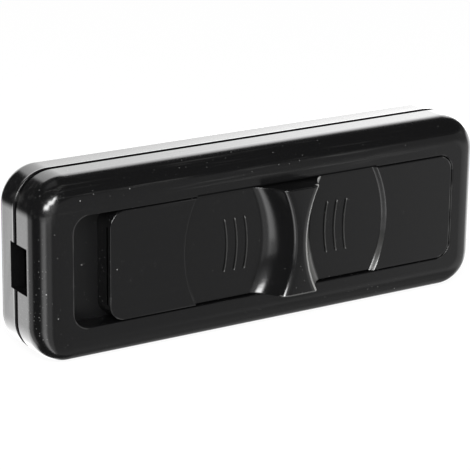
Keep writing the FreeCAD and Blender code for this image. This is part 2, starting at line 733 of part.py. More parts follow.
def contact_spring(row):
    """The bowed leaf that presses a contact bridge: its feet on the bridge, its crown in the carrier's well."""
    piece = new_piece(f"contact_spring_{row}")
    edge = sketch_on(piece, "XZ_Plane", "edge")
    half, rise = "(spring_span / 2)", "(spring_length - spring_thickness)"
    bend = f"(({half} ^ 2 + {rise} ^ 2) / (2 * {rise}))"
    outline(edge, [
        (half, "0"),
        (half, "spring_thickness", bend, 1),
        (f"-{half}", "spring_thickness"),
        (f"-{half}", "0", bend, -1),
    ])
    pad(piece, edge, "spring_width", midplane=True)
    place(piece, x=REST_X, y=f"{ROWS[row]} * pole_spacing / 2", z=SPRING_LEVEL)
    return piece


def contact_strip(side, row):
    """A fixed contact: a flat strip from under the terminal to the bridge's path."""
    piece = new_piece(f"contact_strip_{side}_{row}")
    flat = sketch_on(piece, "XY_Plane", "flat")
    left, right = "right_contact_end", TERMINAL_END
    if side == "left":
        left, right = f"-{TERMINAL_END}", "-left_contact_end"
    rectangle(flat, left, right, "-strip_width / 2", "strip_width / 2")
    pad(piece, flat, "strip_thickness")
    place(piece, y=f"{ROWS[row]} * pole_spacing / 2", z=STRIP_LEVEL)
    return piece


def terminal_block(side, row):
    """A brass terminal with a hole for the wire and a threaded one for its screw."""
    piece = new_piece(f"terminal_block_{side}_{row}")
    block = sketch_on(piece, "XY_Plane", "block")
    rectangle(block, "-terminal_length / 2", "terminal_length / 2", "-terminal_width / 2", "terminal_width / 2")
    pad(piece, block, "terminal_height")
    wire = sketch_on(piece, "YZ_Plane", "wire_hole")
    circle(wire, "0", "wire_level", "wire_hole / 2")
    pocket(piece, wire, "2 * terminal_length", midplane=True)
    thread = sketch_on(piece, "XY_Plane", "screw_hole", "terminal_height")
    circle(thread, "0", "0", "terminal_shank + thread_clearance")
    pocket(piece, thread, "terminal_height - wire_level")
    place(piece, x=f"{SIDES[side]} * {TERMINAL_X}", y=f"{ROWS[row]} * pole_spacing / 2", z=TERMINAL_LEVEL)
    return piece


def detent_spring():
    """The leaf beside the carrier, with the bump that its notches meet at each end of the travel."""
    piece = new_piece("detent_spring")
    edge = sketch_on(piece, "XY_Plane", "edge", "leaf_level")
    foot, outer = "(notch_half + 0.5 * leaf_bump)", f"({LEAF_Y} + leaf_thickness)"
    outline(edge, [
        (f"-{LEAF_END}", LEAF_Y),
        (f"-{foot}", LEAF_Y),
        ("0", f"{LEAF_Y} - leaf_bump"),
        (foot, LEAF_Y),
        (LEAF_END, LEAF_Y),
        (LEAF_END, outer),
        (foot, outer),
        ("0", f"{outer} - leaf_bump"),
        (f"-{foot}", outer),
        (f"-{LEAF_END}", outer),
    ])
    pad(piece, edge, "leaf_height")
    place(piece)
    return piece


def cord_clamp(side):
    """A bar across the cord, with a tooth that bites it."""
    piece = new_piece(f"cord_clamp_{side}")
    profile = sketch_on(piece, "YZ_Plane", "profile")
    tooth = "(saddle_width / 2)"
    outline(profile, [
        ("-clamp_width / 2", "0"), (f"-{tooth}", "0"), (f"-{tooth} / 2", "-clamp_thickness / 2"),
        (f"{tooth} / 2", "-clamp_thickness / 2"), (tooth, "0"), ("clamp_width / 2", "0"),
        ("clamp_width / 2", "clamp_thickness"), ("-clamp_width / 2", "clamp_thickness"),
    ])
    pad(piece, profile, "clamp_length", midplane=True)
    hole = sketch_on(piece, "XY_Plane", "hole", "clamp_thickness")
    circle(hole, "0", "clamp_screw_y", "clamp_shank + screw_clearance")
    pocket(piece, hole, "clamp_thickness")
    place(piece, x=f"{SIDES[side]} * {CLAMP_X}", z=CLAMP_LEVEL)
    return piece


def screw(name, kind):
    """A screw turned as one solid, with its head above z = 0 and its shank below."""
    piece = new_piece(name)
    half = sketch_on(piece, "XZ_Plane", "half")
    head, shank = f"{kind}_head", f"{kind}_shank"
    top, tip = f"{kind}_head_height", f"-{kind}_shank_length"
    outline(half, [("0", tip), (shank, tip), (shank, "0"), (head, "0"), (head, top), ("0", top)])
    turned = piece.newObject("PartDesign::Revolution", f"{name}_turned")
    turned.Profile = half
    turned.ReferenceAxis = (half, ["V_Axis"])
    settled(turned, grows=True)
    return piece


def screws():
    """All the screws, each at its seat."""
    found = [screw("carrier_screw", "carrier")]
    place(found[0], x=REST_X, z=f"{CARRIER_END} + {CARRIER_SINK}", turned=True)
    for (side, sign), (x, y) in zip(SIDES.items(), at_bosses()):
        cover = screw(f"cover_screw_{side}", "cover")
        place(cover, x, y, "counterbore_depth", turned=True)
        clamp = screw(f"clamp_screw_{side}", "clamp")
        place(clamp, f"{sign} * {CLAMP_X}", "clamp_screw_y", f"{CLAMP_LEVEL} + clamp_thickness")
        found += [cover, clamp]
        for row, up in ROWS.items():
            terminal = screw(f"terminal_screw_{side}_{row}", "terminal")
            place(terminal, f"{sign} * {TERMINAL_X}", f"{up} * pole_spacing / 2",
                  f"{TERMINAL_LEVEL} + terminal_height")
            found.append(terminal)
    return found


def build():
    """Every piece of the switch."""
    pieces = [front_cover(), rear_cover(), slider(), slide_carrier(), detent_spring()]
    for row in ROWS:
        pieces += [contact_bridge(row), contact_spring(row)]
        for side in SIDES:
            pieces += [contact_strip(side, row), terminal_block(side, row)]
    pieces += [cord_clamp(side) for side in SIDES]
    return pieces + screws()


def check(pieces):
    """Stop if any object of the document failed or a piece isn't one valid solid."""
    doc.recompute()
    for thing in doc.Objects:
        if "Invalid" in thing.State or "Error" in thing.State:
            raise RuntimeError(f"{thing.Label} is {thing.State}")
    for piece in pieces:
        shape = piece.Shape
        if shape.isNull() or not shape.isValid() or len(shape.Solids) != 1:
            raise RuntimeError(f"{piece.Label} isn't one valid solid")


pieces = build()
check(pieces)
os.makedirs("parts", exist_ok=True)
for piece in pieces:
    piece.Shape.exportStep(f"parts/{piece.Label}.step")
print(len(pieces), "pieces")
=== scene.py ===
import math

import bmesh
import bpy
import numpy as np
from mathutils import Matrix, Vector


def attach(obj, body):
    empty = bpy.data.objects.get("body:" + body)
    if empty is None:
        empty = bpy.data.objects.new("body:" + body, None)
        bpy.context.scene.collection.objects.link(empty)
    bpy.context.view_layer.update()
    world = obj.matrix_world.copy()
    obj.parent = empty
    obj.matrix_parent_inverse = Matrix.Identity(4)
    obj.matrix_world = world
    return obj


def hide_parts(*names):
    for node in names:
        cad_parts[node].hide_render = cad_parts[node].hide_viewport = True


# An inline cord switch that stands on its long side, front face towards -Y. Sizes are in millimetres.
# Heights are counted from the floor, or from the switch's middle line where a name or a text says so.

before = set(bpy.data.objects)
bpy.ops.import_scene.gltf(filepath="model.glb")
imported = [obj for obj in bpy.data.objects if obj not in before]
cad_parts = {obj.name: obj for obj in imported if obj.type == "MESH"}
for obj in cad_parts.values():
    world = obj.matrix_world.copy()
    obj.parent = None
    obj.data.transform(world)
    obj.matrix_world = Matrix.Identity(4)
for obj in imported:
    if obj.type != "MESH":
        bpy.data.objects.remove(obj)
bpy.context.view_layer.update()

MM = 0.001
MIDDLE = 16.3                       # height of the middle line
BODY = (46.0, 16.3, 6.6)            # half length, half width and corner radius of the shells
POCKET = (39.55, 9.9, 3.0)          # the same of the pocket in the front
PLATE = (36.0, 9.75, 2.85)          # and of the slider's plate
REST = 3.4                          # the slider's middle where the switch rests
FACE, FIELD = -5.5, -4.7            # depths of the front face and of the sunk finger field
ROOF, POCKET_FLOOR = -3.3, -1.0     # depths of the slab's underside and of the pocket's floor
FIELD_RADIUS = 21.15
CREST, CREST_ROUND, CREST_FLAT = -10.1, 1.7, 0.03    # the grip's crest: depth, rounding, half its flat
GRIP_ARC = 21.5                     # radius that the grip and the ribs follow up their height
RIB_START, RIB_PITCH = 8.25, 2.08
ENTRY_HALF, ENTRY_FRONT, ENTRY_BACK = 4.15, -0.87, 5.06
SCREW_ASIDE, SCREW_UP = 38, 10.8    # the cover screws' axes from the middle


# ---- surfaces: each gives its points and its faces ----

def ring(size, inset=0.0, steps=20):
    """One turn round a rectangle with round corners, pulled in all round by an inset. Each corner is a
    quarter circle, and each side has a point just inside either end, which keeps its shading flat."""
    half_x, half_z, radius = size[0] - inset, size[1] - inset, size[2] - inset
    turn = np.linspace(0, np.pi / 2, steps + 1)
    arc = radius * np.stack([np.cos(turn), np.sin(turn)], 1)
    lead = np.array([[radius, -0.12]]), np.array([[-0.12, radius]])
    quarter = np.vstack([lead[0], arc, lead[1]])
    corners = []
    for count, (side_x, side_z) in enumerate(((1, 1), (-1, 1), (-1, -1), (1, -1))):
        c, s = round(math.cos(count * math.pi / 2)), round(math.sin(count * math.pi / 2))
        turned = quarter @ np.array([[c, s], [-s, c]])
        corners.append(turned + (side_x * (half_x - radius), side_z * (half_z - radius)))
    return np.vstack(corners)


def at(loop, y, x=0.0):
    """A flat loop of x and z, set at a depth y and moved along the body by x."""
    return np.column_stack([loop[:, 0] + x, np.full(len(loop), y), loop[:, 1] + MIDDLE])


def quarter_round(radius, steps):
    """A quarter circle as two runs from 0 to the radius: how far across it has come, and how far along."""
    turn = np.linspace(0, np.pi / 2, steps + 1)
    return radius * (1 - np.cos(turn)), radius * np.sin(turn)


def loft(loops, joined=False):
    """A skin over loops of equal count, one after the other. It is closed by a flat face at either end,
    or by joining the last loop to the first."""
    count, width = len(loops), len(loops[0])
    points = np.vstack(loops)
    index = np.arange(count * width).reshape(count, width)
    near, far = (index, np.roll(index, -1, 0)) if joined else (index[:-1], index[1:])
    quads = np.stack([near, far, np.roll(far, -1, 1), np.roll(near, -1, 1)], -1).reshape(-1, 4)
    faces = quads.tolist()
    if not joined:
        faces += [index[0].tolist(), index[-1][::-1].tolist()]
    return points, faces


def turned(profile, x, z, steps=48):
    """A profile of radius and depth, turned once about an axis across the body at x and z."""
    angle = np.linspace(0, 2 * np.pi, steps, endpoint=False)
    circle = np.stack([np.cos(angle), np.sin(angle)], 1)
    return [np.column_stack([x + radius * circle[:, 0], np.full(steps, y), z + radius * circle[:, 1]])
            for radius, y in profile]


def block(low, high):
    """A box between two corners."""
    corners = np.array([low, high], float)
    loops = []
    for y in corners[:, 1]:
        x, z = corners[:, 0], corners[:, 2]
        loops.append(np.array([[x[0], y, z[0]], [x[1], y, z[0]], [x[1], y, z[1]], [x[0], y, z[1]]]))
    return loft(loops)


# ---- meshes and pieces ----

def mesh_of(name, surfaces):
    """Puts closed surfaces into one mesh, in metres, with every face turned outwards."""
    points, faces, count = [], [], 0
    for surface_points, surface_faces in surfaces:
        points.append(surface_points * MM)
        faces += [[corner + count for corner in face] for face in surface_faces]
        count += len(surface_points)
    mesh = bpy.data.meshes.new(name)
    mesh.from_pydata(np.vstack(points).tolist(), [], faces)
    outwards(mesh)
    return mesh


def outwards(mesh):
    """Turns the faces of closed surfaces outwards."""
    work = bmesh.new()
    work.from_mesh(mesh)
    bmesh.ops.recalc_face_normals(work, faces=work.faces)
    work.to_mesh(mesh)
    work.free()


def merged(first, second):
    """Two meshes in one."""
    both = bpy.data.meshes.new(first.name)
    work = bmesh.new()
    work.from_mesh(first)
    work.from_mesh(second)
    work.to_mesh(both)
    work.free()
    return both


def carved(mesh, tools):
    """The mesh less each of the closed surfaces."""
    for tool in tools:
        solid = bpy.data.objects.new("solid", mesh)
        cutter = bpy.data.objects.new("cutter", mesh_of("cutter", [tool]))
        for thing in (solid, cutter):
            bpy.context.scene.collection.objects.link(thing)
        cut = solid.modifiers.new("cut", "BOOLEAN")
        cut.operation, cut.solver, cut.object = "DIFFERENCE", "EXACT", cutter
        evaluated = solid.evaluated_get(bpy.context.evaluated_depsgraph_get())
        result = bpy.data.meshes.new_from_object(evaluated)
        for thing in (solid, cutter):
            bpy.data.objects.remove(thing)
        mesh = result
    return mesh


def piece(name, mesh, body, finish, replaced=(), sharp=32):
    """A finished piece: smooth apart from its sharp edges, with its finish and body; the CAD parts it
    replaces are hidden.
    """
    mesh.name = name
    mesh.polygons.foreach_set("use_smooth", np.ones(len(mesh.polygons), bool))
    mesh.set_sharp_from_angle(angle=math.radians(sharp))
    mesh.materials.clear()
    mesh.materials.append(finish)
    thing = bpy.data.objects.new(name, mesh)
    bpy.context.scene.collection.objects.link(thing)
    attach(thing, body)
    if replaced:
        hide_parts(*replaced)
    return thing


# ---- the mouldings ----

def entries():
    """The two cord entries, through both shells at the ends."""
    low, high = MIDDLE - ENTRY_HALF, MIDDLE + ENTRY_HALF
    return [block((side * 40, ENTRY_FRONT, low), (side * 50, ENTRY_BACK, high)) for side in (-1, 1)]


def screw_axis(side):
    """Where a cover screw stands: x and height."""
    return side * SCREW_ASIDE, MIDDLE - side * SCREW_UP


def front_moulding():
    """The front shell, as one closed profile carried round the body: rim, outer wall, the large front
    round, face, pocket wall and floor, the slot for the stem, and back along the inside to the rim."""
    loops = [at(ring(BODY, 1.6), 2.7), at(ring(BODY, 0.2), 2.7)]
    across, along = quarter_round(0.12, 3)
    loops += [at(ring(BODY, 0.12 - a), 2.7 - b) for a, b in zip(across, 0.12 - along[::-1])]
    loops += [at(ring(BODY), 2.3), at(ring(BODY), -0.85)]
    across, along = quarter_round(4.55, 28)
    loops += [at(ring(BODY, a), -0.95 - b) for a, b in zip(across, along)]
    loops += [at(ring(BODY, 4.65), FACE), at(ring(POCKET, -0.32), FACE)]
    across, along = quarter_round(0.12, 3)
    loops += [at(ring(POCKET, b - 0.12), FACE + a) for a, b in zip(across, along)]
    slot = (10.1, 2.5, 0.4)
    loops += [at(ring(POCKET), FACE + 0.35), at(ring(POCKET), POCKET_FLOOR), at(ring(slot), POCKET_FLOOR),
              at(ring(slot), 0.3), at(ring(POCKET, -1.3), 0.3), at(ring(POCKET, -1.3), -3.7),
              at(ring(BODY, 3.075), -3.7), at(ring(BODY, 1.6), -2.225)]
    return carved(mesh_of("front", [loft(loops, joined=True)]), entries())


def rear_moulding():
    """The rear shell: cavity floor, wall and tongue, the raised lip along the groove, outer wall, back
    round and back, then the seats of the works."""
    loops = [at(ring(BODY, 2.7), 8.3), at(ring(BODY, 2.7), 1.5), at(ring(BODY, 1.7), 1.5),
             at(ring(BODY, 1.7), 3.6), at(ring(BODY, 0.3), 3.6)]
    across, along = quarter_round(0.22, 4)
    loops += [at(ring(BODY, 0.22 - b), 3.6 + a) for a, b in zip(across, along)]
    loops += [at(ring(BODY), 3.86), at(ring(BODY, 0.012), 3.95), at(ring(BODY, 0.072), 4.2)]
    loops += [at(ring(BODY, 0.08), 4.3), at(ring(BODY, 0.08), 7.58)]
    across, along = quarter_round(2.42, 18)
    loops += [at(ring(BODY, 0.08 + a), 7.68 + b) for a, b in zip(across, along)]
    loops += [at(ring(BODY, 2.6), 10.1)]
    shell = carved(mesh_of("rear", [loft(loops)]), entries())
    seats = []
    for side in (-1, 1):
        x, z = screw_axis(side)
        shell = carved(shell, [loft(turned([(2.9, 10.6), (2.9, 7.6)], x, z)),
                               loft(turned([(1.55, 8.0), (1.55, 0.0)], x, z))])
        rim = [(4.2, 8.4), (4.2, 4.5), (1.55, 4.5), (1.55, 7.6), (2.9, 7.6), (2.9, 8.4)]
        seats.append(loft(turned(rim, x, z), joined=True))
        seats.append(loft(turned([(2.3, 8.4), (2.3, 3.5)], side * 32, MIDDLE + 6.6)))
        seats.append(block((side * 32 - 2.5, 0.9, 6.3), (side * 32 + 2.5, 8.4, 7.2)))
        seats.append(block((side * 22 - 4.7, 1.9, 15.7), (side * 22 + 4.7, 8.4, 16.9)))
    return merged(shell, mesh_of("seats", seats))


# ---- the slider ----

def bow(z):
    """How far a grip arc lies from its middle at a height z from the middle line."""
    return GRIP_ARC - np.sqrt(GRIP_ARC ** 2 - z ** 2)


def flank_profile():
    """Half of the grip's section from its foot to the crest's middle, as distance from the middle and
    depth, with its outward normals: a parabola whose slope grows from 25 to 65 degrees, then the crest's
    round on to its narrow flat."""
    low, high = math.radians(25), math.radians(65)
    foot = np.array([5.2, FIELD])
    top = np.array([CREST_FLAT + CREST_ROUND * math.sin(high), CREST + CREST_ROUND * (1 - math.cos(high))])
    ways = -np.array([[math.cos(low), math.sin(low)], [math.cos(high), math.sin(high)]])
    reach = np.linalg.solve(ways.T, top - foot)
    knee = foot + reach[0] * ways[0]
    share = np.linspace(0, 1, 32)[:, None]
    hollow = (1 - share) ** 2 * foot + 2 * share * (1 - share) * knee + share ** 2 * top
    way = (1 - share) * (knee - foot) + share * (top - knee)
    way /= np.linalg.norm(way, axis=1)[:, None]
    angle = np.linspace(high, 0, 20)[1:]
    rounding = np.stack([CREST_FLAT + CREST_ROUND * np.sin(angle),
                         CREST + CREST_ROUND * (1 - np.cos(angle))], 1)
    points = np.vstack([hollow, rounding])
    return points, np.vstack([np.column_stack([-way[:, 1], way[:, 0]]),
                              np.stack([np.sin(angle), -np.cos(angle)], 1)])


def grip():
    """The saddle grip: half sections mirrored about its middle and carried up its height. Each side
    follows the grip's arc without turning, and the section shrinks along its normals round both ends."""
    half, out = flank_profile()
    across, along = quarter_round(0.22, 5)
    ends = np.column_stack([PLATE[1] - 0.22 + along, across])
    heights = np.linspace(-9.5, 9.5, 61)
    stations = np.vstack([-ends[::-1] * (1, -1), np.column_stack([heights, np.zeros(61)]), ends])
    loops = []
    for z, shrink in stations:
        side = half - out * shrink
        x, y = side[:, 0] + bow(z), side[:, 1]
        right = np.column_stack([REST + x, y])
        left = np.column_stack([REST - x, y])[::-1]
        foot = np.array([[REST - x[0], ROOF], [REST + x[0], ROOF]])
        section = np.vstack([right, left, foot])
        loops.append(np.column_stack([section, np.full(len(section), MIDDLE + z)]))
    return loft(loops)


def rib(side, distance):
    """A fine ridge beside the grip: an arch, carried along the grip's arc, that narrows to a point in a
    half ellipse at both ends."""
    along = np.sin(np.linspace(-np.pi / 2, np.pi / 2, 41)) * 4.8
    narrow = np.sqrt(np.clip(1 - np.clip((np.abs(along) - 4.65) / 0.1501, 0, 1) ** 2, 0.0004, 1))
    turn = np.linspace(0, np.pi, 9)
    loops = []
    for z, share in zip(along, narrow):
        x = REST + side * (distance + bow(z)) + 0.16 * share * np.cos(turn)
        y = FIELD + 0.04 - (0.39 * share) * np.sin(turn)
        loops.append(np.column_stack([x, y, np.full(9, MIDDLE + z)]))
    return loft(loops)


def land_outline(field, inset):
    """The outline of the land at the right end: the field's circle, then the plate's lower side, end and
    upper side with its round corners, pulled in by an inset."""
    half_x, half_z, radius = PLATE[0] - inset, PLATE[1] - inset, PLATE[2] - inset
    limit = math.asin(half_z / field)
    turn = np.linspace(limit, -limit, 49)
    circle = field * np.stack([np.cos(turn), np.sin(turn)], 1)
    turn = np.linspace(-np.pi / 2, 0, 17)
    lower = radius * np.stack([np.cos(turn), np.sin(turn)], 1) + (half_x - radius, radius - half_z)
    upper = lower[::-1] * (1, -1)
    lead = np.array([[half_x - radius - 0.1, -half_z]]), np.array([[half_x, radius - half_z + 0.1]])
    return np.vstack([circle, lead[0], lower, lead[1], lead[1] * (1, -1), upper, lead[0] * (1, -1)])


def land(side):
    """The raised land at one end of the plate. Towards the field its wall is a soft step, part slope and
    part smooth cubic: nearly all slope at the right, all cubic at the left. Its rim has a round of 0.2."""
    share = np.linspace(0, 1, 17)
    width, cubic = (0.62, 0.1) if side > 0 else (0.6, 1.0)
    rise = share + cubic * (share * share * (3 - 2 * share) - share)
    depth = FIELD + (FACE - FIELD) * rise
    rise = np.clip((FACE + 0.2 - depth) / 0.2, 0, 1)
    rim = 0.2 * (1 - np.sqrt(1 - rise ** 2))
    field = FIELD_RADIUS + width * (share - 0.55)
    loops = [land_outline(field[0], 0.0), *map(land_outline, field, rim),
             land_outline(field[-1] + 0.1, 0.3)]
    depth = [FIELD + 0.5, *depth, FACE]
    return loft([at(loop * (side, 1), y, REST) for loop, y in zip(loops, depth)])


def finger_plate():
    """The slider: skirted slab, two lands, grip, six ribs, and the stem and keys under it."""
    skirt = [at(ring(PLATE, 1.4), ROOF, REST), at(ring(PLATE, 1.4), -1.1, REST),
             at(ring(PLATE), -1.1, REST), at(ring(PLATE), FIELD + 0.1, REST),
             at(ring(PLATE, 0.1), FIELD, REST)]
    surfaces = [loft(skirt), grip(), land(-1), land(1)]
    surfaces += [rib(side, RIB_START + RIB_PITCH * index) for side in (-1, 1) for index in range(3)]
    surfaces.append(loft(turned([(2.3, ROOF - 0.2), (2.3, 0.4)], REST, MIDDLE)))
    for side in (-1, 1):
        x = REST + side * 5.7
        surfaces.append(block((x - 0.7, ROOF - 0.2, MIDDLE - 2), (x + 0.7, 1.9, MIDDLE + 2)))
    return mesh_of("slider", surfaces)


def cover_screw(side):
    """A pan-head screw: head with a soft edge and a crossed slot, and a shank whose radius follows a
    thread, a triangle wave that climbs one pitch a turn."""
    x, z = screw_axis(side)
    across, along = quarter_round(0.45, 6)
    head = [(1.3, 7.62), (2.6, 7.62)] + [(2.6 - a, 8.75 + b) for a, b in zip(across, along)]
    screw = mesh_of("screw", [loft(turned(head, x, z, 64))])
    slots = []
    for angle in (0.35, 0.35 + math.pi / 2):
        points, faces = block((-1.55, 8.35, -0.28), (1.55, 9.6, 0.28))
        c, s = math.cos(angle), math.sin(angle)
        turn = points[:, [0, 2]] @ np.array([[c, s], [-s, c]])
        slots.append((np.column_stack([turn[:, 0] + x, points[:, 1], turn[:, 1] + z]), faces))
    screw = carved(screw, slots)
    angle = np.linspace(0, 2 * np.pi, 32, endpoint=False)
    loops = []
    for depth in np.linspace(7.7, 0.95, 91):
        phase = (angle / (2 * np.pi) + depth / 0.9) % 1
        radius = 1.22 - 0.3 * np.abs(2 * phase - 1) * np.clip((7.2 - depth) / 0.8, 0, 1)
        loops.append(np.column_stack([x + radius * np.cos(angle), np.full(32, depth),
                                      z + radius * np.sin(angle)]))
    return merged(screw, mesh_of("shank", [loft(loops)]))


# ---- finishes ----

def tree_of(name):
    """A material with its node tree, holding its output and Principled shader."""
    material = bpy.data.materials.new(name)
    material.use_nodes = True
    tree = material.node_tree
    return material, tree, tree.nodes["Principled BSDF"]


def node(tree, kind, inputs=None, **settings):
    """A node with its settings; an input takes a value or another node's socket."""
    made = tree.nodes.new(kind)
    for key, value in settings.items():
        setattr(made, key, value)
    for key, value in (inputs or {}).items():
        if isinstance(value, bpy.types.NodeSocket):
            tree.links.new(value, made.inputs[key])
        else:
            made.inputs[key].default_value = value
    return made


def group_of(name, inputs, outputs):
    """A shader node group with named inputs, each with its first value, and named outputs."""
    tree = bpy.data.node_groups.new(name, "ShaderNodeTree")
    for label, (kind, value) in inputs.items():
        socket = tree.interface.new_socket(name=label, in_out="INPUT", socket_type=kind)
        if value is not None:
            socket.default_value = value
    for label, kind in outputs.items():
        tree.interface.new_socket(name=label, in_out="OUTPUT", socket_type=kind)
    return tree, tree.nodes.new("NodeGroupInput"), tree.nodes.new("NodeGroupOutput")


def math_node(tree, operation, first, second=0.0, clamp=False):
    """The output of a Math node."""
    made = node(tree, "ShaderNodeMath", {0: first, 1: second}, operation=operation, use_clamp=clamp)
    return made.outputs[0]


def product(tree, *factors):
    """All factors multiplied, from the first on."""
    result = factors[0]
    for factor in factors[1:]:
        result = math_node(tree, "MULTIPLY", result, factor)
    return result


def apart_from(tree, value, middle):
    """How far a value lies from a middle."""
    return math_node(tree, "ABSOLUTE", math_node(tree, "SUBTRACT", value, middle))


def millimetres(tree, vector):
    """The three parts of a place in millimetres."""
    way = node(tree, "ShaderNodeSeparateXYZ", {"Vector": vector})
    return [math_node(tree, "MULTIPLY", way.outputs[axis], 1000.0) for axis in "XYZ"]


def smooth_step(tree, value, low, high):
    """0 below low, 1 above high, and eased between them; the other way round where low is the larger."""
    made = node(tree, "ShaderNodeMapRange", {"Value": value, "From Min": low, "From Max": high},
                interpolation_type="SMOOTHSTEP")
    return made.outputs["Result"]


def dust_group():
    """Loose specks: the middles of scattered cells, kept where the cell's random share is high, with a
    patchy density; it puts out the specks and a thin grey haze."""
    tree, inside, out = group_of("dust", {
        "Vector": ("NodeSocketVector", None), "Scale": ("NodeSocketFloat", 900.0),
        "Share": ("NodeSocketFloat", 0.05), "Size": ("NodeSocketFloat", 0.2),
    }, {"Specks": "NodeSocketFloat", "Haze": "NodeSocketFloat"})
    vector = inside.outputs["Vector"]
    cells = node(tree, "ShaderNodeTexVoronoi", {"Vector": vector, "Scale": inside.outputs["Scale"]})
    patch = node(tree, "ShaderNodeTexNoise", {"Vector": vector, "Scale": 60.0, "Detail": 2.0})
    lot = node(tree, "ShaderNodeSeparateColor", {"Color": cells.outputs["Color"]})
    limit = product(tree, inside.outputs["Share"], smooth_step(tree, patch.outputs["Fac"], 0.35, 0.7))
    kept = math_node(tree, "LESS_THAN", lot.outputs["Red"], limit)
    reach = product(tree, inside.outputs["Size"], lot.outputs["Green"])
    near = math_node(tree, "LESS_THAN", cells.outputs["Distance"], reach)
    tree.links.new(product(tree, kept, near), out.inputs["Specks"])
    haze = node(tree, "ShaderNodeTexNoise", {"Vector": vector, "Scale": 220.0, "Detail": 4.0})
    tree.links.new(smooth_step(tree, haze.outputs["Fac"], 0.5, 0.8), out.inputs["Haze"])
    return tree


def streak_group():
    """Fine rubbing marks: noise drawn out along the body, as a height and as a mask. Where a finish paints
    the mask as faint light lines, these are painted reflection streaks.
    """
    tree, inside, out = group_of("rubbing_and_streaks", {
        "Vector": ("NodeSocketVector", None), "Fineness": ("NodeSocketFloat", 2500.0),
    }, {"Height": "NodeSocketFloat", "Marks": "NodeSocketFloat"})
    drawn = node(tree, "ShaderNodeVectorMath", {0: inside.outputs["Vector"], 1: (0.02, 1.0, 1.0)},
                 operation="MULTIPLY")
    lines = node(tree, "ShaderNodeTexNoise", {
        "Vector": drawn.outputs[0], "Scale": inside.outputs["Fineness"], "Detail": 3.0, "Roughness": 0.6})
    tree.links.new(lines.outputs["Fac"], out.inputs["Height"])
    tree.links.new(smooth_step(tree, lines.outputs["Fac"], 0.55, 0.75), out.inputs["Marks"])
    return tree


def rim_group():
    """What follows a rectangle with round corners on the front, from the signed distance to it. Its
    middle, half lengths and radius are inputs. It puts out rubbed marks along it, broken up by noise and
    kept beyond a distance from its middle; its inside; and a mask for painted shade, a dark line along the
    seam above the finger field."""
    tree, inside, out = group_of("rim", {
        "Vector": ("NodeSocketVector", None), "Middle": ("NodeSocketFloat", 0.0),
        "Half Length": ("NodeSocketFloat", 30.0), "Half Width": ("NodeSocketFloat", 10.0),
        "Radius": ("NodeSocketFloat", 3.0), "Reach": ("NodeSocketFloat", 0.2),
        "Gaps": ("NodeSocketFloat", 0.5), "Beyond": ("NodeSocketFloat", 30.0),
    }, {"Marks": "NodeSocketFloat", "Inside": "NodeSocketFloat", "Seam": "NodeSocketFloat"})
    values = inside.outputs
    x, y, z = millimetres(tree, values["Vector"])
    along = apart_from(tree, x, values["Middle"])
    over = math_node(tree, "ADD", math_node(tree, "SUBTRACT", along, values["Half Length"]),
                     values["Radius"])
    up = apart_from(tree, z, MIDDLE)
    above = math_node(tree, "ADD", math_node(tree, "SUBTRACT", up, values["Half Width"]),
                      values["Radius"])
    past = node(tree, "ShaderNodeCombineXYZ", {"X": math_node(tree, "MAXIMUM", over),
                                               "Y": math_node(tree, "MAXIMUM", above)})
    length = node(tree, "ShaderNodeVectorMath", {0: past.outputs[0]}, operation="LENGTH").outputs["Value"]
    within = math_node(tree, "MINIMUM", math_node(tree, "MAXIMUM", over, above), 0.0)
    distance = math_node(tree, "SUBTRACT", math_node(tree, "ADD", length, within), values["Radius"])
    off = math_node(tree, "ABSOLUTE", distance)
    line = math_node(tree, "SUBTRACT", 1.0, math_node(tree, "DIVIDE", off, values["Reach"]), clamp=True)
    gaps = node(tree, "ShaderNodeTexNoise", {"Vector": values["Vector"], "Scale": 420.0, "Detail": 5.0})
    kept = math_node(tree, "MULTIPLY", math_node(tree, "SUBTRACT", gaps.outputs["Fac"], values["Gaps"]),
                     6.0, clamp=True)
    ends = smooth_step(tree, math_node(tree, "SUBTRACT", along, values["Beyond"]), 0.0, 1.0)
    front = smooth_step(tree, apart_from(tree, y, FACE), 0.6, 0.35)
    tree.links.new(product(tree, line, front, ends, kept), out.inputs["Marks"])
    tree.links.new(math_node(tree, "LESS_THAN", distance, 0.3), out.inputs["Inside"])
    # Painted shade: the mask of the dark line along the seam above the finger field.
    seam = product(tree, smooth_step(tree, off, 0.30, 0.12), front, smooth_step(tree, z, 25.5, 25.8),
                   smooth_step(tree, apart_from(tree, x, REST), 19.2, 18.6))
    tree.links.new(seam, out.inputs["Seam"])
    return tree


